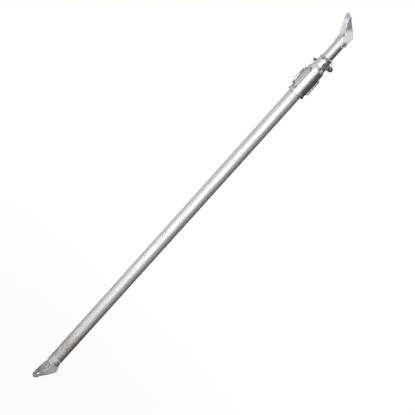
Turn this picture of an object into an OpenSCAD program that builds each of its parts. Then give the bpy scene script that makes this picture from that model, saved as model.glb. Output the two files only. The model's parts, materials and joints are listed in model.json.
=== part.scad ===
// Adjustable steel push-pull prop: a telescopic steel tube strut with a hinged
// shoe at each end, a screw sleeve with two rod handles for the fine setting,
// and a locking pin through a swivel collar for the coarse one.
//
// Frame: +Z runs up the tubes from the foot to the head. The origin is the
// middle of the foot shoe's anchor hole, on the sole. The hinges and the
// locking pin lie along Y, and both tongues point towards -X.

/* [Tubes] */
// Outside diameter of the outer tube
outer_od = 60.3; // [58:0.1:61.5]
// Wall of the outer tube
outer_wall = 2.9; // [2.6:0.1:3.6]
// Outside diameter of the inner tube
inner_od = 48.3; // [46:0.1:49]
// Wall of the inner tube
inner_wall = 3.2; // [2.6:0.1:4]
// How far each tube runs past its hinge axis
tube_past_hinge = 22; // [18:1:26]

/* [Length] */
// Length of the outer tube
outer_length = 1767; // [1400:1:1900]
// Inner tube's lower end above the foot hinge
inner_bottom = 85; // [60:1:150]
// Distance between the pin holes in the inner tube
hole_pitch = 100; // [60:5:120]
// Number of pin holes in the inner tube
hole_count = 13; // [8:1:13]

/* [Adjusting sleeve] */
// Wall of the screwed nut inside the sleeve
nut_wall = 4.24; // [3:0.01:6]
// Wall of the sleeve
sleeve_wall = 3.6; // [3:0.1:4]
// Length of the sleeve up to its conical shoulder
sleeve_length = 132; // [130:1:140]
// Height of the conical shoulder
shoulder_height = 20; // [18:1:21]
// Wall of the shoulder at its top, round the collar
shoulder_lip = 2.1; // [1.5:0.1:4]
// Length of the screwed nut inside the sleeve
nut_length = 68; // [50:1:80]
// Wall of the ring on the sleeve's lower end
end_ring_wall = 1.95; // [1:0.05:5]
// Height of that ring
end_ring_height = 11; // [8:1:14]
// Thickness of the seat that carries the collar's flange
seat_height = 8; // [6:0.5:9]
// Room between that seat and the outer tube's top
seat_gap = 4; // [1:0.5:10]

/* [Handles] */
// Diameter of the handle rod
rod_d = 11; // [9:0.5:13]
// Distance from the tube axis to the grip's middle
handle_reach = 78; // [72:1:90]
// Height of the grips' middle above the sleeve's middle
handle_above_middle = 5; // [0:1:9]
// Lean of a handle's legs away from each other at the sleeve
handle_splay = 20; // [10:1:24]
// Length of the straight grip between the bends
handle_grip = 54; // [44:1:58]
// Bend radius at the rod's middle
handle_bend = 14; // [12:1:18]
// Handles' turn about the tubes
handle_turn = 28; // [0:1:90]

/* [Swivel collar] */
// Wall of the collar
collar_wall = 3.45; // [3:0.05:4]
// Thickness of that flange
flange_height = 7; // [5:0.5:7.5]
// Wall of the stop ring above the sleeve
stop_ring_wall = 4; // [3:0.5:5]
// Height of the stop ring
stop_ring_height = 10; // [7:0.5:10]
// Collar's top above the pin axis
collar_above_pin = 33; // [28:1:40]

/* [Locking pin] */
// Diameter of the pin
pin_d = 16; // [14:0.5:16.5]
// Clearance hole for the pin
pin_hole_d = 17; // [17:0.1:18]
// Pin axis above the sleeve's shoulder
pin_above_shoulder = 18; // [14:0.5:24]
// Head hinge above the pin, in the top hole
head_above_pin = 121; // [90:1:160]
// Distance from the tube axis to the pin's point
pin_point = 77; // [60:1:90]
// Distance from the tube axis to the end of the pin's grip
pin_grip_end = 91; // [84:1:100]
// Diameter of the pin's grip
pin_grip_d = 24; // [20:0.5:25]
// Length of the pin's grip
pin_grip_length = 55; // [48:1:56]
// Diameter of the bail's wire
bail_wire_d = 6; // [5:0.5:7]
// Height of the bail above the pin
bail_rise = 33; // [30:1:38]
// Lean of the bail about the pin
bail_lean = 25; // [0:1:30]

/* [Shoes] */
// Thickness of the shoe's pressed plate
plate = 5; // [4:0.5:6]
// Hinge axis above the sole
hinge_height = 49; // [47:1:54]
// Length of the sole from the heel to the tongue's tip
sole_length = 106; // [104:1:116]
// Distance of the hinge behind the heel
heel_back = 15; // [12:0.5:20]
// Anchor hole's distance from the heel
anchor_from_heel = 79; // [76:1:82]
// Diameter of the anchor hole
anchor_d = 18; // [13:0.5:20]
// Width of the tongue
tongue_width = 48; // [44:1:52]
// Length of the parallel part of the ears along the sole
ear_straight = 36; // [30:1:42]
// Radius of the ear round the hinge bolt
ear_r = 15.5; // [14.5:0.5:17]
// Height of the ears where their curved edge ends
ear_height = 37; // [32:1:40]
// How far behind the anchor hole it ends
ear_run = 58; // [50:1:62]
// Outer radius of the fold between the sole and the ears
fold_r = 6.5; // [5.5:0.5:8]
// Turn of the foot shoe's tongue away from straight down
foot_turn = 36.5; // [10:0.5:60]
// Turn of the head shoe's tongue away from straight up
head_turn = 53; // [10:0.5:70]

/* [Hinge bolts] */
// Diameter of the hinge bolts
bolt_d = 12; // [11:0.5:13]
// Width of the bolt head and nut across the flats
hex_width = 19; // [18:0.5:20]
// Height of the bolt head
head_height = 7.5; // [7:0.5:9]
// Height of the nut
nut_height = 11; // [9:0.5:13]
// Outside diameter of the washers
washer_od = 24; // [24:0.5:28]
// Thickness of the washers
washer_t = 2.5; // [2:0.5:4]
// Outside diameter of the spacer tubes welded into the tube ends
bush_od = 20; // [18:0.5:22]

/* [Clearances] */
// Radial gap between parts that slide along each other
slide_gap = 0.4; // [0.3:0.05:0.5]
// Radial gap of a pin or bolt that turns in its bore
turn_gap = 0.06; // [0.02:0.01:0.1]
// Side gap between parts that turn against each other
side_gap = 0.35; // [0.3:0.05:0.5]

/* [Hidden] */
$fn = 96;

zinc = [0.62, 0.64, 0.65];
dull_zinc = [0.52, 0.52, 0.51];
dark_steel = [0.28, 0.28, 0.29];

outer_r = outer_od / 2;
bore_r = outer_r - outer_wall;
inner_r = inner_od / 2;
nut_bore_r = outer_r + turn_gap;
sleeve_bore_r = nut_bore_r + nut_wall;
sleeve_r = sleeve_bore_r + sleeve_wall;
end_ring_r = sleeve_r + end_ring_wall;
collar_bore_r = inner_r + slide_gap;
collar_r = collar_bore_r + collar_wall;
flange_r = sleeve_bore_r - slide_gap;
stop_ring_r = collar_r + stop_ring_wall;
slide_length = 24;

// heights above the foot hinge, with the top hole pinned and the sleeve
// screwed right down
outer_top = outer_length - tube_past_hinge;
sleeve_top = outer_top + seat_gap + seat_height;
sleeve_bottom = sleeve_top - sleeve_length;
shoulder_top = sleeve_top + shoulder_height;
handle_height = (sleeve_bottom + sleeve_top) / 2 + handle_above_middle;
pin_height = shoulder_top + pin_above_shoulder;
closed_length = pin_height + head_above_pin;

// the shoes' own frame has the anchor hole at the origin, the sole on z = 0
// and the tongue towards +x, so the hinge lies behind and above the hole
anchor_back = heel_back + anchor_from_heel;
heel_x = -anchor_from_heel;
tip_x = sole_length - anchor_from_heel;
bend_x = heel_x + ear_straight;
foot_gap = outer_od + 2 * side_gap;
head_gap = inner_od + 2 * side_gap;

// the tube axis and the foot hinge, seen from the foot's anchor hole
axis_x = anchor_back * sin(foot_turn) - hinge_height * cos(foot_turn);
foot_z = anchor_back * cos(foot_turn) + hinge_height * sin(foot_turn);

pin_eye_y = -pin_grip_end + 8;
bail_slot = bail_wire_d + 2 * side_gap;
pivot_d = 5;

// a point on the tubes' axis, z above the foot hinge
module on_axis(z) translate([axis_x, 0, foot_z + z]) children();

module ring(outer, inner, height) {
    difference() {
        cylinder(r = outer, h = height);
        translate([0, 0, -1]) cylinder(r = inner, h = height + 2);
    }
}

// a cylinder along Y, centred on the axis
module cross_rod(d, length) rotate([90, 0, 0]) cylinder(d = d, h = length, center = true);

// round bar that starts along +Z: the steps are a length, then the angle of a
// bend towards +X, then the next length, and so on; the straights run a little
// way into the bends, which are a hair thicker, so the pieces always fuse
module bent_rod(steps, d, r, i = 0) {
    lap = 0.3;
    if (i < len(steps)) {
        if (i % 2 == 0) {
            translate([0, 0, -lap]) cylinder(d = d, h = steps[i] + 2 * lap);
            translate([0, 0, steps[i]]) bent_rod(steps, d, r, i + 1);
        } else {
            translate([r, 0, 0]) {
                rotate([90, 0, 0]) rotate(180 - steps[i])
                    rotate_extrude(angle = steps[i]) translate([r, 0]) circle(d = d + 0.1);
                rotate([0, steps[i], 0]) translate([-r, 0, 0]) bent_rod(steps, d, r, i + 1);
            }
        }
    }
}

module outer_tube() {
    color(dull_zinc) difference() {
        on_axis(-tube_past_hinge) ring(outer_r, bore_r, outer_length);
        on_axis(0) cross_rod(bush_od, outer_od + 2);
    }
}

// the spacer is cut flush with the ears' gap, so that the ears clamp on it
module hinge_bush(gap) {
    difference() {
        cross_rod(bush_od, gap - 2 * side_gap);
        cross_rod(bolt_d + 2 * turn_gap, gap + 2);
    }
}

module foot_bush() color(zinc) on_axis(0) hinge_bush(foot_gap);

module head_bush() color(zinc) on_axis(closed_length) hinge_bush(head_gap);

// steel liner in the outer tube's mouth, which the inner tube runs through
module guide_bush() {
    color(zinc) on_axis(outer_top - slide_length)
        ring(bore_r, inner_r + slide_gap, slide_length);
}

module inner_tube() {
    color(zinc) difference() {
        on_axis(inner_bottom)
            ring(inner_r, inner_r - inner_wall, closed_length + tube_past_hinge - inner_bottom);
        on_axis(closed_length) cross_rod(bush_od, inner_od + 2);
        for (i = [0:hole_count - 1])
            on_axis(pin_height - i * hole_pitch) cross_rod(pin_hole_d, inner_od + 2);
    }
}

// ring welded round the inner tube's lower end, which keeps it central
module slide_ring() {
    color(zinc) on_axis(inner_bottom) ring(bore_r - slide_gap, inner_r, slide_length);
}

module sleeve_barrel() {
    color(dull_zinc) on_axis(sleeve_bottom) ring(sleeve_r, sleeve_bore_r, sleeve_length);
}

module sleeve_nut() {
    color(zinc) on_axis(sleeve_bottom) ring(sleeve_bore_r, nut_bore_r, nut_length);
}

module sleeve_end_ring() {
    color(zinc) on_axis(sleeve_bottom) ring(end_ring_r, sleeve_r, end_ring_height);
}

module sleeve_seat() {
    color(zinc) on_axis(sleeve_top - seat_height)
        ring(sleeve_bore_r, collar_bore_r, seat_height);
}

// conical cap that traps the collar's flange in the sleeve
module sleeve_shoulder() {
    room = flange_height + 2 * side_gap;
    skirt = 4;
    color(dull_zinc) on_axis(sleeve_top) rotate_extrude() polygon([
        [sleeve_bore_r, 0],
        [sleeve_r, 0],
        [sleeve_r, skirt],
        [collar_r + slide_gap + shoulder_lip, shoulder_height],
        [collar_r + slide_gap, shoulder_height],
        [collar_r + slide_gap, room],
        [sleeve_bore_r, room]
    ]);
}

module handle(turn) {
    root_r = sleeve_r - 4;
    bend = 90 - handle_splay;
    leg = (handle_reach - root_r - handle_bend * (1 - sin(handle_splay))) / cos(handle_splay);
    span = handle_grip + 2 * (leg * sin(handle_splay) + handle_bend * cos(handle_splay));
    difference() {
        on_axis(handle_height - span / 2) rotate(turn) translate([root_r, 0, 0])
            rotate([0, bend, 0]) rotate(180)
            bent_rod([leg, bend, handle_grip, bend, leg], rod_d, handle_bend);
        on_axis(sleeve_bottom) cylinder(r = sleeve_r, h = sleeve_length);
    }
}

module near_handle() color(zinc) handle(180 + handle_turn);

module far_handle() color(zinc) handle(handle_turn);

module swivel_collar() {
    flange_z = sleeve_top + side_gap;
    color(zinc) difference() {
        on_axis(flange_z) union() {
            cylinder(r = flange_r, h = flange_height);
            cylinder(r = collar_r, h = pin_height + collar_above_pin - flange_z);
        }
        on_axis(flange_z - 1) cylinder(r = collar_bore_r, h = closed_length - flange_z);
        on_axis(pin_height) cross_rod(pin_hole_d, 2 * collar_r + 2);
    }
}

module stop_ring() {
    color(zinc) on_axis(shoulder_top + 2 * side_gap) difference() {
        ring(stop_ring_r, collar_r, stop_ring_height);
        translate([0, 0, pin_height - shoulder_top - 2 * side_gap])
            cross_rod(pin_hole_d, 2 * stop_ring_r + 2);
    }
}

// the bail's plane leans about the pin, and its pivot stands square to it
module in_bail_plane() on_axis(pin_height) rotate([0, -bail_lean, 0]) children();

module locking_pin() {
    chamfer = 3;
    color(dark_steel) difference() {
        union() {
            on_axis(pin_height) rotate([-90, 0, 0]) rotate_extrude() polygon([
                [0, pin_eye_y], [pin_d / 2, pin_eye_y],
                [pin_d / 2, pin_point - chamfer], [pin_d / 2 - chamfer, pin_point], [0, pin_point]
            ]);
            on_axis(pin_height) translate([0, -pin_grip_end, 0])
                rotate([-90, 0, 0]) cylinder(d = pin_grip_d, h = pin_grip_length);
        }
        in_bail_plane() translate([-bail_slot / 2, -pin_grip_end - 1, -pin_grip_d])
            cube([bail_slot, 18, 2 * pin_grip_d]);
        in_bail_plane() translate([0, pin_eye_y, 0])
            rotate([0, 90, 0]) cylinder(d = pivot_d, h = pin_grip_d + 2, center = true);
    }
}

module pin_bail() {
    eye_d = 13;
    bail_bend = 10;
    bail_length = -pin_eye_y - collar_r - 5;
    color(zinc) in_bail_plane() difference() {
        union() {
            translate([0, pin_eye_y, 0]) rotate([0, 90, 0])
                cylinder(d = eye_d, h = bail_wire_d, center = true);
            translate([0, pin_eye_y, eye_d / 2 - 1]) rotate(90) bent_rod(
                [bail_rise - bail_bend - eye_d / 2 + 1, 90, bail_length - bail_bend],
                bail_wire_d, bail_bend);
        }
        translate([0, pin_eye_y, 0]) rotate([0, 90, 0])
            cylinder(d = pivot_d + 2 * turn_gap, h = bail_wire_d + 2, center = true);
    }
}

module bail_pivot() {
    color(zinc) in_bail_plane() translate([0, pin_eye_y, 0])
        rotate([0, 90, 0]) cylinder(d = pivot_d, h = pin_grip_d - 3, center = true);
}

// the sole seen from above: parallel ears, then a taper to the round tongue
module shoe_plan(half, tongue_half) {
    polygon([
        [heel_x, -half], [bend_x, -half], [0, -tongue_half],
        [0, tongue_half], [bend_x, half], [heel_x, half]
    ]);
    translate([tip_x - tongue_half, 0]) circle(r = tongue_half);
    translate([0, -tongue_half]) square([tip_x - tongue_half, 2 * tongue_half]);
}

// the ears seen from the side, from the tongue back to the hinge: their upper
// edge rises in a curve from beyond the anchor hole
module ear_side() {
    start = 13.3;
    steps = 9;
    rise = [for (i = [0:steps]) [
        start - i / steps * (ear_run + start),
        plate + pow(i / steps, 0.75) * (ear_height - plate)
    ]];
    hinge = [-anchor_back, hinge_height];
    polygon(concat([[heel_x, 0], [tip_x, 0], [tip_x, plate]], rise, [
        hinge + ear_r * [sin(41), cos(41)], hinge, hinge - ear_r * [cos(33), sin(33)]
    ]));
    translate(hinge) circle(r = ear_r);
}

// what the fold takes off the edge between the sole and an ear
module fold_cut(side, length) {
    arc = [for (a = [0:30:90]) fold_r * [1 - sin(a), 1 - cos(a)]];
    rotate([90, 0, 90]) linear_extrude(length) polygon([
        for (p = concat([[-1, fold_r], [-1, -1], [fold_r, -1]], arc)) [-side * p.x, p.y]
    ]);
}

// pressed steel shoe: a flat sole with two ears folded up along its edges
module shoe(gap) {
    half = gap / 2 + plate;
    depth = 2 * half + 2;
    taper = atan((half - tongue_width / 2) / -bend_x);
    lap = 2;
    difference() {
        intersection() {
            union() {
                linear_extrude(hinge_height + 2 * ear_r) shoe_plan(half, tongue_width / 2);
                translate([-anchor_back - 2 * ear_r, -half, 0])
                    cube([heel_back + 2 * ear_r, 2 * half, hinge_height + 2 * ear_r]);
            }
            translate([0, depth / 2, 0]) rotate([90, 0, 0]) linear_extrude(depth) ear_side();
        }
        translate([0, 0, plate]) linear_extrude(hinge_height + 2 * ear_r)
            shoe_plan(gap / 2, tongue_width / 2 - plate);
        translate([-anchor_back - 3 * ear_r, -gap / 2, -1])
            cube([heel_back + 3 * ear_r, gap, hinge_height + 3 * ear_r]);
        translate([-anchor_back, 0, hinge_height]) cross_rod(bolt_d + 2 * turn_gap, depth);
        translate([0, 0, -1]) cylinder(d = anchor_d, h = plate + 2);
        for (side = [-1, 1]) {
            translate([heel_x - lap, side * half, 0]) fold_cut(side, ear_straight + 2 * lap);
            translate([bend_x, side * half, 0]) rotate(-side * taper)
                translate([-lap, 0, 0]) fold_cut(side, 2 * lap - bend_x / cos(taper));
        }
    }
}

module foot_shoe() color(dull_zinc) rotate([0, foot_turn - 90, 0]) rotate(180) shoe(foot_gap);

module head_shoe() {
    color(zinc) on_axis(closed_length) rotate([0, -90 - head_turn, 0])
        translate([anchor_back, 0, -hinge_height]) shoe(head_gap);
}

// six flats with the outer end's corners turned off
module hexagon(height) {
    corner = hex_width / 2 / cos(30) + 1;
    face = 0.47 * hex_width;
    intersection() {
        cylinder(r = hex_width / 2 / cos(30), h = height, $fn = 6);
        rotate_extrude() polygon([
            [0, 0], [corner, 0], [corner, height - (corner - face) * tan(30)], [face, height], [0, height]
        ]);
    }
}

module hinge_bolt(gap) {
    grip = gap / 2 + plate + washer_t;
    translate([0, -grip, 0]) rotate([90, 0, 0]) hexagon(head_height);
    translate([0, -grip, 0]) rotate([-90, 0, 0])
        cylinder(d = bolt_d, h = 2 * grip + nut_height + 4);
}

module hinge_nut(gap) {
    translate([0, gap / 2 + plate + washer_t, 0]) rotate([-90, 0, 0]) difference() {
        hexagon(nut_height);
        translate([0, 0, -1]) cylinder(d = bolt_d, h = nut_height + 2);
    }
}

module hinge_washer(gap, side) {
    translate([0, side * (gap / 2 + plate + washer_t / 2), 0]) rotate([90, 0, 0])
        translate([0, 0, -washer_t / 2]) ring(washer_od / 2, bolt_d / 2, washer_t);
}

module foot_bolt() color(zinc) on_axis(0) hinge_bolt(foot_gap);

module foot_nut() color(zinc) on_axis(0) hinge_nut(foot_gap);

module foot_near_washer() color(zinc) on_axis(0) hinge_washer(foot_gap, -1);

module foot_far_washer() color(zinc) on_axis(0) hinge_washer(foot_gap, 1);

module head_bolt() color(zinc) on_axis(closed_length) hinge_bolt(head_gap);

module head_nut() color(zinc) on_axis(closed_length) hinge_nut(head_gap);

module head_near_washer() color(zinc) on_axis(closed_length) hinge_washer(head_gap, -1);

module head_far_washer() color(zinc) on_axis(closed_length) hinge_washer(head_gap, 1);

outer_tube();
foot_bush();
guide_bush();
inner_tube();
head_bush();
slide_ring();
sleeve_barrel();
sleeve_nut();
sleeve_end_ring();
sleeve_seat();
sleeve_shoulder();
near_handle();
far_handle();
swivel_collar();
stop_ring();
locking_pin();
pin_bail();
bail_pivot();
foot_shoe();
foot_bolt();
foot_nut();
foot_near_washer();
foot_far_washer();
head_shoe();
head_bolt();
head_nut();
head_near_washer();
head_far_washer();
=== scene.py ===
import json
from math import cos, pi, radians, sin, sqrt

import bmesh
import bpy
from mathutils import Matrix, Vector

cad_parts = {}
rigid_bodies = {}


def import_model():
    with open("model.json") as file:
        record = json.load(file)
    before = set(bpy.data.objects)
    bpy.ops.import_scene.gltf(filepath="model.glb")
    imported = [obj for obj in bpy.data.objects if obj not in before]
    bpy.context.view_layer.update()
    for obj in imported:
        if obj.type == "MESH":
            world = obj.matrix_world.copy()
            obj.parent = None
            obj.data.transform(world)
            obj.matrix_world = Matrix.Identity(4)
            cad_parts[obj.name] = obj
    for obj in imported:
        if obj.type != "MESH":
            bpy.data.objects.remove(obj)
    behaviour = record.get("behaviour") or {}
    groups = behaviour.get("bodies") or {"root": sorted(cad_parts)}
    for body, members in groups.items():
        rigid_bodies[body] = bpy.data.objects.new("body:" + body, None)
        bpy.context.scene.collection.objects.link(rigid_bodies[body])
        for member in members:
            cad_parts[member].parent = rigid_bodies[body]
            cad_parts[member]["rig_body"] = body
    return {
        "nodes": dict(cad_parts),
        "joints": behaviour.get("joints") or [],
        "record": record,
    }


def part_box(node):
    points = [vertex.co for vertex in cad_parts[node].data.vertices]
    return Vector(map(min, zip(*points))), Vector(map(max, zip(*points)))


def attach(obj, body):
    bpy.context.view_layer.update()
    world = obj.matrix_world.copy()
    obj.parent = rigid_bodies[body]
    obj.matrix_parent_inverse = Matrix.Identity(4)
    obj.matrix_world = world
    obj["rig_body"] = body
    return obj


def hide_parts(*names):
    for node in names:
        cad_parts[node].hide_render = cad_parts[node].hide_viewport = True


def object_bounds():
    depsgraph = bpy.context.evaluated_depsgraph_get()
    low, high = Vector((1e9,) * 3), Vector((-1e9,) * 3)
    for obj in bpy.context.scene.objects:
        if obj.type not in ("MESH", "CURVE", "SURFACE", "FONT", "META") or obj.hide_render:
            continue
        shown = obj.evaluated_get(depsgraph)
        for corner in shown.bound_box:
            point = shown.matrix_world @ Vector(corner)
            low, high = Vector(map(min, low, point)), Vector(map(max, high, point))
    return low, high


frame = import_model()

cad_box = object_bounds()


# --------------------------------------------------------------- outer tube
# The long lower tube: welded structural steel tube, hot-dip galvanised after
# the foot's spacer is welded across it. Its upper end carries the rolled
# thread that the sleeve's nut climbs, and a liner that guides the inner tube.

joints = {j["name"]: j for j in frame["joints"]}
axis_x, _, foot_z = joints["foot_hinge"]["pos_m"]
tube_low, tube_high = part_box("outer_tube")
tube_r = tube_high.y
tube_wall = 0.0029
tube_bore = tube_r - tube_wall
cut_edge = 0.0006
mouth_edge = 0.001
thread_depth = 0.0013
thread_pitch = 0.006
thread_runout = 0.002
thread_core = tube_r - thread_depth
thread_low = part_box("sleeve_barrel")[0].z + thread_runout


def add(tree, kind, inputs=None, **settings):
    """One node in a tree; its inputs are values, or sockets to be joined."""
    made = tree.nodes.new(kind)
    for name, value in settings.items():
        setattr(made, name, value)
    for name, value in (inputs or {}).items():
        if isinstance(value, bpy.types.NodeSocket):
            tree.links.new(value, made.inputs[name])
        else:
            made.inputs[name].default_value = value
    return made


def mix(tree, share, first, second):
    """The colour that lies 'share' of the way from first to second."""
    made = add(tree, "ShaderNodeMix", {0: share, 6: first, 7: second}, data_type="RGBA")
    return made.outputs[2]


def times(tree, first, second):
    """Two masks or numbers multiplied."""
    return add(tree, "ShaderNodeMath", {0: first, 1: second}, operation="MULTIPLY").outputs[0]


def spread(tree, value, low, high, to_low=0.0, to_high=1.0):
    """value's run from low to high, stretched over to_low to to_high."""
    made = add(tree, "ShaderNodeMapRange", {
        "Value": value, "From Min": low, "From Max": high, "To Min": to_low, "To Max": to_high})
    made.clamp = True
    return made.outputs["Result"]


def group(name, wanted, given, tree_kind="ShaderNodeTree"):
    """An empty node group with named inputs and outputs."""
    tree = bpy.data.node_groups.new(name, tree_kind)
    for label, kind, value in wanted:
        socket = tree.interface.new_socket(label, in_out="INPUT", socket_type="NodeSocket" + kind)
        if value is not None:
            socket.default_value = value
    for label, kind in given:
        tree.interface.new_socket(label, in_out="OUTPUT", socket_type="NodeSocket" + kind)
    asked = tree.nodes.new("NodeGroupInput").outputs
    return tree, asked, tree.nodes.new("NodeGroupOutput").inputs


# Hot-dip zinc: spangle cells a few millimetres wide, cloudy grey patina drawn
# out along the tubes, and the fine lumps that the bath leaves.
zinc_skin, asked, given = group(
    "zinc_skin",
    [("Bright", "Color", (0.6, 0.61, 0.62, 1)), ("Dull", "Color", (0.4, 0.41, 0.41, 1)),
     ("Spangles per metre", "Float", 160.0), ("Spangle contrast", "Float", 0.3),
     ("Patina", "Float", 0.5), ("Smoothness", "Float", 0.5)],
    [("Color", "Color"), ("Roughness", "Float"), ("Height", "Float")])
place = add(zinc_skin, "ShaderNodeTexCoord").outputs["Object"]
cells = add(zinc_skin, "ShaderNodeTexVoronoi", {
    "Vector": place, "Scale": asked["Spangles per metre"]}).outputs["Color"]
cell_tone = add(zinc_skin, "ShaderNodeSeparateColor", {0: cells}).outputs[0]
drawn = add(zinc_skin, "ShaderNodeMapping", {"Vector": place, "Scale": (1, 1, 0.28)}).outputs[0]
clouds = add(zinc_skin, "ShaderNodeTexNoise", {
    "Vector": drawn, "Scale": 38.0, "Detail": 6.0, "Roughness": 0.62}).outputs["Fac"]
lumps = add(zinc_skin, "ShaderNodeTexNoise", {
    "Vector": place, "Scale": 330.0, "Detail": 4.0, "Roughness": 0.6}).outputs["Fac"]
patina = times(zinc_skin, spread(zinc_skin, clouds, 0.38, 0.66), asked["Patina"])
cell_share = times(zinc_skin, cell_tone, asked["Spangle contrast"])
dull_share = add(zinc_skin, "ShaderNodeMath", {
    0: patina, 1: cell_share}, operation="ADD", use_clamp=True).outputs[0]
skin_color = mix(zinc_skin, dull_share, asked["Bright"], asked["Dull"])
zinc_skin.links.new(skin_color, given["Color"])
matt = add(zinc_skin, "ShaderNodeMath", {
    0: 1.0, 1: asked["Smoothness"]}, operation="SUBTRACT").outputs[0]
uneven = spread(zinc_skin, dull_share, 0.0, 1.0, to_low=0.8, to_high=1.25)
zinc_skin.links.new(times(zinc_skin, matt, uneven), given["Roughness"])
bath = add(zinc_skin, "ShaderNodeMath", {
    0: times(zinc_skin, clouds, 0.7), 1: times(zinc_skin, lumps, 0.3)}, operation="ADD").outputs[0]
zinc_skin.links.new(bath, given["Height"])

# Grime and painted shade: soft blotches broken up by fine scuffs, as a mask
# for a material to spend on one part of a piece; it marks real handling and
# weather at some places and lays painted shade at others.
grime_and_shade, asked, given = group(
    "grime_and_shade",
    [("Blotches per metre", "Float", 40.0), ("Amount", "Float", 0.5)],
    [("Mask", "Float")])
place = add(grime_and_shade, "ShaderNodeTexCoord").outputs["Object"]
blotches = add(grime_and_shade, "ShaderNodeTexNoise", {
    "Vector": place, "Scale": asked["Blotches per metre"],
    "Detail": 5.0, "Roughness": 0.7}).outputs["Fac"]
pressed = add(grime_and_shade, "ShaderNodeMapping", {"Vector": place, "Scale": (1, 1, 1.8)}).outputs[0]
scuffs = add(grime_and_shade, "ShaderNodeTexNoise", {
    "Vector": pressed, "Scale": 75.0, "Detail": 4.0, "Roughness": 0.6}).outputs["Fac"]
both = times(
    grime_and_shade, spread(grime_and_shade, blotches, 0.42, 0.62),
    spread(grime_and_shade, scuffs, 0.35, 0.6, to_low=0.4, to_high=1.0))
grime_and_shade.links.new(times(grime_and_shade, both, asked["Amount"]), given["Mask"])


def zinc(name, bright, dull, patina, smooth, metal, spangles=160.0, contrast=0.3, lumpy=0.25):
    """A galvanised finish; dark colours give the darker finish that carries painted shade."""
    made = bpy.data.materials.new(name)
    made.use_nodes = True
    tree = made.node_tree
    shader = tree.nodes["Principled BSDF"]
    skin = add(tree, "ShaderNodeGroup", {
        "Bright": bright + (1,), "Dull": dull + (1,), "Spangles per metre": spangles,
        "Spangle contrast": contrast, "Patina": patina, "Smoothness": smooth},
        node_tree=zinc_skin)
    shader.inputs["Metallic"].default_value = metal
    tree.links.new(skin.outputs["Color"], shader.inputs["Base Color"])
    tree.links.new(skin.outputs["Roughness"], shader.inputs["Roughness"])
    bump = add(tree, "ShaderNodeBump", {
        "Height": skin.outputs["Height"], "Strength": lumpy, "Distance": 0.0012})
    tree.links.new(bump.outputs[0], shader.inputs["Normal"])
    return made


def tinted(material, tint, share):
    """Lays one even tint over a zinc finish, as far as the mask 'share' says."""
    tree = material.node_tree
    top = tree.nodes["Principled BSDF"].inputs["Base Color"]
    tree.links.new(mix(tree, share, top.links[0].from_socket, tint + (1,)), top)


def soil_and_shade(material, tint, where, blotches, amount):
    """Lays blotches of one tint over a zinc finish, as far as the mask 'where' says: real dirt at
    some places, painted shade at others.
    """
    tree = material.node_tree
    marks = add(tree, "ShaderNodeGroup", {
        "Blotches per metre": blotches, "Amount": amount}, node_tree=grime_and_shade)
    tinted(material, tint, times(tree, marks.outputs["Mask"], where))


def along(tree, way):
    """How far a point lies from the row frame's origin, measured along 'way'."""
    made = add(tree, "ShaderNodeVectorMath", {
        0: add(tree, "ShaderNodeTexCoord").outputs["Object"], 1: way}, operation="DOT_PRODUCT")
    return made.outputs["Value"]


def height_band(tree, low, high, fade):
    """1 between two heights of the row frame, fading out over 'fade' metres."""
    z = along(tree, (0, 0, 1))
    above = spread(tree, z, low - fade, low)
    return times(tree, above, spread(tree, z, high, high + fade, to_low=1.0, to_high=0.0))


def shaded_side(tree, begins, full):
    """The shaded side of the tubes, as a mask for painted shade: 0 to 1 between
    two distances from their axis."""
    way = Vector((0.87, -0.5, 0))
    return spread(tree, along(tree, way), way.x * axis_x + begins, way.x * axis_x + full)


def finished(node, material, edge, facet=30):
    """Puts a copy of a CAD node in its place, with its facets joined, its edges
    broken by 'edge' metres and its curved faces smooth."""
    source = frame["nodes"][node]
    form = bmesh.new()
    form.from_mesh(source.data)
    bmesh.ops.remove_doubles(form, verts=form.verts, dist=2e-6)
    bmesh.ops.dissolve_limit(form, angle_limit=radians(0.5), verts=form.verts, edges=form.edges)
    mesh = bpy.data.meshes.new(node + "_finished")
    form.to_mesh(mesh)
    form.free()
    mesh.shade_smooth()
    mesh.set_sharp_from_angle(angle=radians(facet))
    mesh.materials.clear()
    mesh.materials.append(material)
    piece = bpy.data.objects.new(node + "_finished", mesh)
    bpy.context.scene.collection.objects.link(piece)
    if edge:
        broken = piece.modifiers.new("broken_edges", "BEVEL")
        broken.width = edge
        broken.segments = 2
        broken.limit_method = "ANGLE"
        broken.angle_limit = radians(facet)
        broken.harden_normals = False
    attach(piece, source["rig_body"])
    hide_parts(node)


def turned(name, profile, body, material, segments=144):
    """A closed ring round the tubes' axis from a loop of (radius, height)."""
    form = bmesh.new()
    rows = []
    for turn in range(segments):
        angle = 2 * pi * turn / segments
        rows.append([
            form.verts.new((axis_x + r * cos(angle), r * sin(angle), z)) for r, z in profile])
    for one, two in zip(rows, rows[1:] + rows[:1]):
        for i in range(len(profile)):
            j = (i + 1) % len(profile)
            form.faces.new((one[i], one[j], two[j], two[i]))
    bmesh.ops.recalc_face_normals(form, faces=form.faces)
    mesh = bpy.data.meshes.new(name)
    form.to_mesh(mesh)
    form.free()
    mesh.shade_smooth()
    mesh.set_sharp_from_angle(angle=radians(30))
    mesh.materials.append(material)
    piece = bpy.data.objects.new(name, mesh)
    bpy.context.scene.collection.objects.link(piece)
    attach(piece, body)
    return piece
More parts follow.
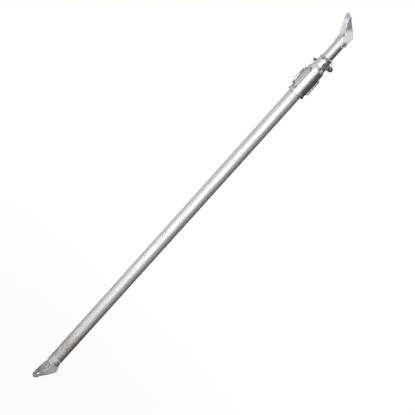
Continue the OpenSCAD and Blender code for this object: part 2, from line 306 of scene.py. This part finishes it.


# brown handling marks near the foot, then painted shade on the tube's shaded
# side near the foot, and a thinner painted shade along all of that side
tube_zinc = zinc(
    "outer_tube_zinc", bright=(0.74, 0.74, 0.75), dull=(0.54, 0.54, 0.54),
    patina=0.5, smooth=0.48, metal=0.75, lumpy=0.14)
nodes = tube_zinc.node_tree
near_foot = height_band(nodes, low=foot_z + 0.03, high=foot_z + 0.12, fade=0.05)
soil_and_shade(tube_zinc, (0.34, 0.27, 0.20), near_foot, blotches=26.0, amount=0.7)
# painted shade: the shaded side darkened near the foot
foot_side_shade = times(
    nodes, height_band(nodes, low=foot_z - 0.05, high=foot_z + 0.2, fade=0.25),
    shaded_side(nodes, begins=0.014, full=0.027))
tinted(tube_zinc, (0.16, 0.14, 0.13), times(nodes, foot_side_shade, 0.55))
soil_and_shade(tube_zinc, (0.10, 0.09, 0.08), foot_side_shade, blotches=22.0, amount=0.9)
# painted shade: a thinner darkening along the whole shaded side
painted_shade = shaded_side(nodes, begins=0.018, full=0.028)
soil_and_shade(tube_zinc, (0.20, 0.19, 0.18), painted_shade, blotches=34.0, amount=0.6)
outer_wall = turned("outer_tube_wall", [
    (tube_r - cut_edge, tube_low.z), (tube_r, tube_low.z + cut_edge),
    (tube_r, thread_low - thread_runout), (thread_core, thread_low),
    (thread_core, tube_high.z - mouth_edge), (thread_core - mouth_edge, tube_high.z),
    (tube_bore, tube_high.z), (tube_bore, tube_low.z),
], "outer_tube", tube_zinc)
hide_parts("outer_tube")

# the thread: one ridge wound round the tube, its crest at the tube's own size
winding, asked, given = group(
    "screw_thread",
    [("Geometry", "Geometry", None), ("Crest Radius", "Float", 0.03),
     ("Depth", "Float", 0.0013), ("Pitch", "Float", 0.006), ("Length", "Float", 0.1),
     ("Start", "Vector", (0, 0, 0)), ("Turn", "Vector", (0, 0, 0)),
     ("Material", "Material", None)],
    [("Geometry", "Geometry")], "GeometryNodeTree")
turns = add(winding, "ShaderNodeMath", {
    0: asked["Length"], 1: asked["Pitch"]}, operation="DIVIDE").outputs[0]
core = add(winding, "ShaderNodeMath", {
    0: asked["Crest Radius"], 1: asked["Depth"]}, operation="SUBTRACT").outputs[0]
helix = add(winding, "GeometryNodeCurveSpiral", {
    "Resolution": 48, "Rotations": turns, "Start Radius": core, "End Radius": core,
    "Height": asked["Length"], "Reverse": False}).outputs[0]
ridge = add(winding, "GeometryNodeCurvePrimitiveCircle", {
    "Resolution": 8, "Radius": asked["Depth"]}).outputs[0]
wound = add(winding, "GeometryNodeCurveToMesh", {
    "Curve": helix, "Profile Curve": ridge, "Fill Caps": True}).outputs[0]
placed = add(winding, "GeometryNodeTransform", {
    "Geometry": wound, "Rotation": asked["Turn"], "Translation": asked["Start"]}).outputs[0]
real = add(winding, "GeometryNodeRealizeInstances", {0: placed}).outputs[0]
coated = add(winding, "GeometryNodeSetMaterial", {
    "Geometry": real, "Material": asked["Material"]}).outputs[0]
winding.links.new(coated, given["Geometry"])


def grown(name, tree, values, body, base=None):
    """The plain mesh that a Geometry Nodes tree makes with these inputs."""
    maker = bpy.data.objects.new(name, base or bpy.data.meshes.new(name + "_start"))
    bpy.context.scene.collection.objects.link(maker)
    modifier = maker.modifiers.new(name, "NODES")
    modifier.node_group = tree
    for item in tree.interface.items_tree:
        if item.item_type == "SOCKET" and item.in_out == "INPUT" and item.name in values:
            modifier[item.identifier] = values[item.name]
    evaluated = maker.evaluated_get(bpy.context.evaluated_depsgraph_get())
    result = bpy.data.meshes.new_from_object(evaluated)
    maker.modifiers.clear()
    maker.data = result
    result.name = name
    result.shade_smooth()
    result.set_sharp_from_angle(angle=radians(50))
    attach(maker, body)


grown("outer_tube_thread", winding, {
    "Crest Radius": tube_r, "Depth": thread_depth, "Pitch": thread_pitch,
    "Length": tube_high.z - thread_low - 2 * thread_runout,
    "Start": (axis_x, 0, thread_low + thread_runout), "Material": tube_zinc}, "outer_tube")

for name in ("foot_bush", "guide_bush"):
    finished(name, tube_zinc, edge=0.0004)


# ---------------------------------------------------------------- foot shoe
# Pressed from 5 mm plate: a flat sole with two ears folded up, drilled for
# the ground anchor, and a hinge bolt with nut and washers through the ears.
# Dipped in zinc, and darkened and browned at the toe with painted shade.

shoe_zinc = zinc(
    "foot_shoe_zinc", bright=(0.70, 0.71, 0.73), dull=(0.50, 0.51, 0.53),
    spangles=120.0, contrast=0.2, patina=0.6, smooth=0.5, metal=0.35)
nodes = shoe_zinc.node_tree
# painted shade over the toe
toe_shade = height_band(nodes, low=-0.1, high=0.0, fade=0.045)
tinted(shoe_zinc, (0.20, 0.19, 0.19), times(nodes, toe_shade, 0.5))
soil_and_shade(shoe_zinc, (0.16, 0.12, 0.09), toe_shade, blotches=60.0, amount=1.15)
finished("foot_shoe", shoe_zinc, edge=0.0008, facet=25)

# hardware zinc, darkened as painted shade
bolt_zinc_shaded = zinc(
    "bolt_zinc_shaded", bright=(0.50, 0.50, 0.49), dull=(0.28, 0.27, 0.26),
    spangles=400.0, contrast=0.15, patina=0.7, smooth=0.62, metal=0.9, lumpy=0.12)
for name in ("foot_bolt", "foot_nut", "foot_near_washer", "foot_far_washer"):
    finished(name, bolt_zinc_shaded, edge=0.0003, facet=20)
bolt_point = 0.0012


def bolt_thread(end, body):
    """The turns of thread that show between the nut and the bolt's bare point."""
    nut_low, nut_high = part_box(end + "_nut")
    middle = (nut_low + nut_high) / 2
    bolt_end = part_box(end + "_bolt")[1].y
    grown(end + "_bolt_thread", winding, {
        "Crest Radius": 0.0062, "Depth": 0.0007, "Pitch": 0.00175,
        "Length": bolt_end - nut_high.y - bolt_point,
        "Start": (middle.x, nut_high.y, middle.z), "Turn": (-pi / 2, 0, 0),
        "Material": bolt_zinc_shaded}, body)


bolt_thread("foot", "foot_shoe")


# ------------------------------------------------------------ swivel collar
# A short steel tube that rides on the sleeve and carries the locking pin. Its
# flange is trapped under the sleeve's shoulder, and a ring is welded round it.
# Its mouth is darkened with painted shade.

bright_zinc = zinc(
    "bright_zinc", bright=(0.74, 0.74, 0.75), dull=(0.52, 0.52, 0.52),
    spangles=200.0, contrast=0.2, patina=0.45, smooth=0.6, metal=0.9)
collar_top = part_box("swivel_collar")[1].z
# painted shade round the collar's mouth
mouth_shade = height_band(
    bright_zinc.node_tree, low=collar_top - 0.014, high=collar_top, fade=0.006)
soil_and_shade(bright_zinc, (0.10, 0.09, 0.09), mouth_shade, blotches=32.0, amount=1.5)
for name in ("swivel_collar", "stop_ring"):
    finished(name, bright_zinc, edge=0.0006)

# a weld is a row of overlapping drops along its seam
seam, asked, given = group(
    "weld_seam",
    [("Geometry", "Geometry", None), ("Bead Radius", "Float", 0.0016),
     ("Ripple", "Float", 0.0016), ("Material", "Material", None)],
    [("Geometry", "Geometry")], "GeometryNodeTree")
run = add(seam, "GeometryNodeMeshToCurve", {"Mesh": asked["Geometry"]}).outputs[0]
steps = add(seam, "GeometryNodeCurveToPoints", {
    "Curve": run, "Length": asked["Ripple"]}, mode="LENGTH").outputs
drop = add(seam, "GeometryNodeMeshUVSphere", {
    "Segments": 10, "Rings": 7, "Radius": asked["Bead Radius"]}).outputs[0]
dots = add(seam, "GeometryNodeInstanceOnPoints", {
    "Points": steps[0], "Instance": drop, "Rotation": steps["Rotation"]}).outputs[0]
real = add(seam, "GeometryNodeRealizeInstances", {0: dots}).outputs[0]
coated = add(seam, "GeometryNodeSetMaterial", {
    "Geometry": real, "Material": asked["Material"]}).outputs[0]
seam.links.new(coated, given["Geometry"])


def welded(name, runs, bead, material, body):
    """Welds along runs of points; a run whose ends meet is closed."""
    path = bpy.data.meshes.new(name + "_path")
    points, edges = [], []
    for run in runs:
        first = len(points)
        points += run
        edges += [(i, i + 1) for i in range(first, len(points) - 1)]
    path.from_pydata(points, edges, [])
    grown(name, seam, {
        "Bead Radius": bead, "Ripple": bead * 0.9, "Material": material}, body, path)


def arc(r, z, start=0.0, end=360.0, steps=72):
    """Points round the tubes' axis between two angles in degrees."""
    angles = [radians(start + (end - start) * i / steps) for i in range(steps + 1)]
    return [(axis_x + r * cos(a), r * sin(a), z) for a in angles]


# the stop ring's weld leaves a gap at the pin on both sides
stop_ring_wall = 0.004
ring_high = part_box("stop_ring")[1]
half_run = 68
welded("stop_ring_weld", [
    arc(ring_high.y - stop_ring_wall, ring_high.z, middle - half_run, middle + half_run)
    for middle in (180, 0)], bead=0.0012, material=bright_zinc, body="collar")


# ------------------------------------------------------------------- sleeve
# The adjusting sleeve: a thick steel tube over the threaded nut, with a ring
# round its lower end and a conical cap that traps the collar. All welded, with
# brownish painted shade on its shaded side.

sleeve_zinc = zinc(
    "sleeve_zinc", bright=(0.70, 0.69, 0.69), dull=(0.52, 0.51, 0.51),
    spangles=180.0, contrast=0.2, patina=0.4, smooth=0.66, metal=0.92, lumpy=0.12)
# brownish painted shade on the sleeve's shaded side
brown_shade = shaded_side(sleeve_zinc.node_tree, begins=0.008, full=0.030)
soil_and_shade(sleeve_zinc, (0.42, 0.35, 0.32), brown_shade, blotches=14.0, amount=1.1)
for name in ("sleeve_barrel", "sleeve_end_ring", "sleeve_shoulder"):
    finished(name, sleeve_zinc, edge=0.0006)
for name in ("sleeve_nut", "sleeve_seat"):
    finished(name, sleeve_zinc, edge=0.0004)
sleeve_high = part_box("sleeve_barrel")[1]
sleeve_r = sleeve_high.y
ring_weld_out = 0.0003
cap_weld_in = 0.0009
welded("sleeve_welds", [
    arc(sleeve_r + ring_weld_out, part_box("sleeve_end_ring")[1].z),
    arc(sleeve_r - cap_weld_in, sleeve_high.z)],
    bead=0.0014, material=sleeve_zinc, body="sleeve")


# ------------------------------------------------------------------ handles
# Two bent steel rods welded to the sleeve's sides, to turn it by hand. Painted
# shade darkens the rods' ends where they meet the sleeve.

handle_zinc = zinc(
    "handle_zinc", bright=(0.68, 0.68, 0.68), dull=(0.44, 0.43, 0.42),
    spangles=260.0, contrast=0.2, patina=0.5, smooth=0.62, metal=0.9)
nodes = handle_zinc.node_tree
place = add(nodes, "ShaderNodeTexCoord").outputs["Object"]
offset = add(nodes, "ShaderNodeVectorMath", {
    0: place, 1: (axis_x, 0, 0)}, operation="SUBTRACT").outputs[0]
flat = add(nodes, "ShaderNodeVectorMath", {
    0: offset, 1: (1, 1, 0)}, operation="MULTIPLY").outputs[0]
from_axis = add(nodes, "ShaderNodeVectorMath", {0: flat}, operation="LENGTH").outputs["Value"]
# painted shade round the rods' roots, fading out from the sleeve
root_shade_full, root_shade_end = 0.004, 0.016
root_shade = spread(
    nodes, from_axis, sleeve_r + root_shade_full, sleeve_r + root_shade_end, to_low=1.0, to_high=0.0)
soil_and_shade(handle_zinc, (0.10, 0.09, 0.09), root_shade, blotches=120.0, amount=1.7)
handle_turn = 28
leg_splay = radians(20)
leg_root = 0.03405
half_span = 0.0528
rod_r = 0.0055
weld_r = rod_r + 0.0003
weld_steps = 36
for name, turn in (("near_handle", 180 + handle_turn), ("far_handle", handle_turn)):
    finished(name, handle_zinc, edge=0, facet=50)
    low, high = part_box(name)
    middle = (low.z + high.z) / 2
    runs = []
    for side in (-1, 1):
        loop = []
        for i in range(weld_steps + 1):
            around = 2 * pi * i / weld_steps
            across = weld_r * cos(around)
            lift = weld_r * sin(around)
            out = sqrt(sleeve_r ** 2 - across ** 2)
            reach = (out - leg_root + lift * sin(leg_splay)) / cos(leg_splay)
            z = middle + side * (half_span - reach * sin(leg_splay) + lift * cos(leg_splay))
            x, y = Matrix.Rotation(radians(turn), 2) @ Vector((out, across))
            loop.append((axis_x + x, y, z))
        runs.append(loop)
    welded(name + "_welds", runs, bead=0.0015, material=handle_zinc, body="sleeve")


# --------------------------------------------------------------- inner tube
# The upper, thinner tube with its row of pin holes. Drawn out and pushed in
# often, so its zinc is rubbed smoother than the outer tube's.

inner_zinc = zinc(
    "inner_tube_zinc", bright=(0.66, 0.66, 0.68), dull=(0.47, 0.47, 0.48),
    spangles=170.0, contrast=0.2, patina=0.5, smooth=0.62, metal=0.9)
for name in ("inner_tube", "head_bush", "slide_ring"):
    finished(name, inner_zinc, edge=0.0004)


# -------------------------------------------------------------- locking pin
# A turned steel pin with a thick grip, coloured dark as painted shade, and
# the zinc-coated wire bail that hangs on its cross pin and leans over it.

# the pin's dark colour is painted shade
pin_steel_shaded = zinc(
    "pin_steel_shaded", bright=(0.22, 0.22, 0.23), dull=(0.10, 0.10, 0.10),
    spangles=500.0, contrast=0.1, patina=0.7, smooth=0.6, metal=0.9, lumpy=0.1)
finished("locking_pin", pin_steel_shaded, edge=0.0006)
finished("bail_pivot", bolt_zinc_shaded, edge=0.0004)
finished("pin_bail", inner_zinc, edge=0.0003, facet=50)


# ---------------------------------------------------------------- head shoe
# The same pressing as the foot's, for the narrower tube, painted brighter as
# painted light. Only its near ear is darkened with painted shade past the
# bend towards the tongue, and the tongue's tip is greyer.

# a brighter copy of the shoe's zinc: painted light
head_lit_zinc = zinc(
    "head_shoe_lit_zinc", bright=(0.93, 0.92, 0.98), dull=(0.80, 0.79, 0.85),
    spangles=130.0, contrast=0.25, patina=0.25, smooth=0.5, metal=0.1, lumpy=0.12)
nodes = head_lit_zinc.node_tree
anchor = {m["name"]: m for m in frame["record"]["mounts"]}["head_anchor"]
tongue_way = Vector(anchor["axis"]).cross(Vector((0, -1, 0)))
bend_to_anchor = 0.036
bend = Vector(anchor["pos_m"]).dot(tongue_way) - bend_to_anchor
# painted shade on the near ear past the bend
past_bend = spread(nodes, along(nodes, tongue_way), bend - 0.012, bend + 0.003)
near_ear = -0.023
near_side = spread(
    nodes, along(nodes, (0, 1, 0)), near_ear, near_ear + 0.003, to_low=0.9, to_high=0.0)
place = add(nodes, "ShaderNodeTexCoord").outputs["Object"]
cloudy = add(nodes, "ShaderNodeTexNoise", {
    "Vector": place, "Scale": 45.0, "Detail": 4.0}).outputs["Fac"]
patchy = spread(nodes, cloudy, 0.3, 0.6, to_low=0.72, to_high=1.0)
painted_shade = times(nodes, times(nodes, past_bend, near_side), patchy)
tinted(head_lit_zinc, (0.16, 0.15, 0.17), painted_shade)
tip = spread(nodes, along(nodes, tongue_way), bend + 0.030, bend + 0.046, to_high=0.55)
tinted(head_lit_zinc, (0.34, 0.34, 0.38), tip)
finished("head_shoe", head_lit_zinc, edge=0.0008, facet=25)
for name, look in (("head_bolt", inner_zinc), ("head_nut", bolt_zinc_shaded),
                   ("head_near_washer", inner_zinc), ("head_far_washer", inner_zinc)):
    finished(name, look, edge=0.0003, facet=20)
bolt_thread("head", "head_shoe")


# ------------------------------------------------------------------- studio
# A pale floor under the foot and a white surround. One tall softbox stands
# before the prop and a weak one left of its foot, and dark cards on its right
# and a grey one behind its left give it its edges.

half_floor = 30
corners = [(-1, -1), (1, -1), (1, 1), (-1, 1)]
mesh = bpy.data.meshes.new("floor")
mesh.from_pydata([(x * half_floor, y * half_floor, 0) for x, y in corners], [], [(0, 1, 2, 3)])
floor = bpy.data.objects.new("floor", mesh)
floor_gap = 0.002
floor.location.z = cad_box[0].z - floor_gap
bpy.context.scene.collection.objects.link(floor)

# the camera sees the paper all but white near the foot and white beyond
paper = bpy.data.materials.new("floor_paper")
paper.use_nodes = True
nodes = paper.node_tree
paper_skin = nodes.nodes["Principled BSDF"]
paper_skin.inputs["Base Color"].default_value = (0.35, 0.35, 0.35, 1)
paper_skin.inputs["Roughness"].default_value = 0.9
seen = add(nodes, "ShaderNodeLightPath").outputs["Is Camera Ray"]
white = add(nodes, "ShaderNodeEmission", {"Color": (1, 1, 1, 1), "Strength": 1.0}).outputs[0]
place = add(nodes, "ShaderNodeTexCoord").outputs["Object"]
from_foot = add(nodes, "ShaderNodeVectorMath", {0: place}, operation="LENGTH").outputs["Value"]
white_share = spread(nodes, from_foot, 0.3, 2.5, to_low=0.96, to_high=1.0)
lit = add(nodes, "ShaderNodeMixShader", {
    0: times(nodes, seen, white_share), 1: paper_skin.outputs[0], 2: white}).outputs[0]
nodes.links.new(lit, nodes.nodes["Material Output"].inputs["Surface"])
mesh.materials.append(paper)

world = bpy.data.worlds.new("surround")
bpy.context.scene.world = world
world.use_nodes = True
nodes = world.node_tree
rays = add(nodes, "ShaderNodeLightPath").outputs
seen = rays["Is Camera Ray"]
for kind in ("Is Glossy Ray", "Is Transmission Ray"):
    seen = add(nodes, "ShaderNodeMath", {0: seen, 1: rays[kind]}, operation="MAXIMUM").outputs[0]
surround = nodes.nodes["Background"]
surround.inputs["Color"].default_value = (1, 1, 1, 1)
nodes.links.new(spread(nodes, seen, 0.0, 1.0, to_low=0.45), surround.inputs["Strength"])

azimuth, elevation, lean = radians(-30), radians(7.6), radians(42.1)
camera_distance = 3.9
back = Vector((sin(azimuth) * cos(elevation), -cos(azimuth) * cos(elevation), sin(elevation)))
right = Vector((cos(azimuth), sin(azimuth), 0))
up = back.cross(right)
aim_height, aim_right = 0.995, 0.0503
aim = Vector((axis_x, 0, foot_z + aim_height)) + aim_right * right
camera = bpy.data.objects.new("camera", bpy.data.cameras.new("camera"))
bpy.context.scene.collection.objects.link(camera)
bpy.context.scene.camera = camera
camera.data.sensor_width = 36
camera.data.lens = 75.96434
camera.data.clip_end = 100
turned_right = cos(lean) * right + sin(lean) * up
turned_up = cos(lean) * up - sin(lean) * right
camera.matrix_world = Matrix.Translation(aim + camera_distance * back) @ Matrix(
    (turned_right, turned_up, back)).transposed().to_4x4()


def beside(side):
    """The level way from the prop to a place 'side' degrees right of the camera."""
    angle = azimuth + radians(side)
    return Vector((sin(angle), -cos(angle), 0))


def softbox(name, side, distance, height, width, tall, power):
    """A rectangular lamp that faces the prop."""
    lamp = bpy.data.lights.new(name, "AREA")
    lamp.shape = "RECTANGLE"
    lamp.size, lamp.size_y = width, tall
    lamp.energy = power
    holder = bpy.data.objects.new(name, lamp)
    bpy.context.scene.collection.objects.link(holder)
    way = beside(side)
    holder.location = Vector((axis_x, 0, height)) + distance * way
    holder.rotation_mode = "QUATERNION"
    holder.rotation_quaternion = way.to_track_quat("Z", "Y")


softbox("key", side=-6, distance=2.0, height=1.35, width=1.5, tall=2.9, power=37)
softbox("foot_fill", side=-50, distance=2.0, height=0.25, width=0.5, tall=0.7, power=6)


def card(name, side, distance, width, tone, tall=4.0, height=1.1):
    """A card beside the prop that only light and reflections meet."""
    way = beside(side)
    middle = Vector((axis_x, 0, height)) + distance * way
    across = Vector((-way.y, way.x, 0)) * width / 2
    rise = Vector((0, 0, tall / 2))
    mesh = bpy.data.meshes.new(name)
    mesh.from_pydata([middle + x * across + z * rise for x, z in corners], [], [(0, 1, 2, 3)])
    paint = bpy.data.materials.new(name)
    paint.use_nodes = True
    for label, value in (("Base Color", (0, 0, 0, 1)), ("Roughness", 1.0),
                         ("Specular IOR Level", 0.0), ("Emission Color", (1, 1, 1, 1)),
                         ("Emission Strength", tone)):
        paint.node_tree.nodes["Principled BSDF"].inputs[label].default_value = value
    mesh.materials.append(paint)
    board = bpy.data.objects.new(name, mesh)
    bpy.context.scene.collection.objects.link(board)
    board.visible_camera = False
    board.visible_shadow = False


card("right_card", side=82, distance=1.6, width=2.4, tone=0.08)
card("right_back_card", side=138, distance=1.9, width=3.0, tone=0.05)
card("left_card", side=-120, distance=1.7, width=2.6, tone=0.65)

bpy.context.scene.view_settings.view_transform = "Standard"
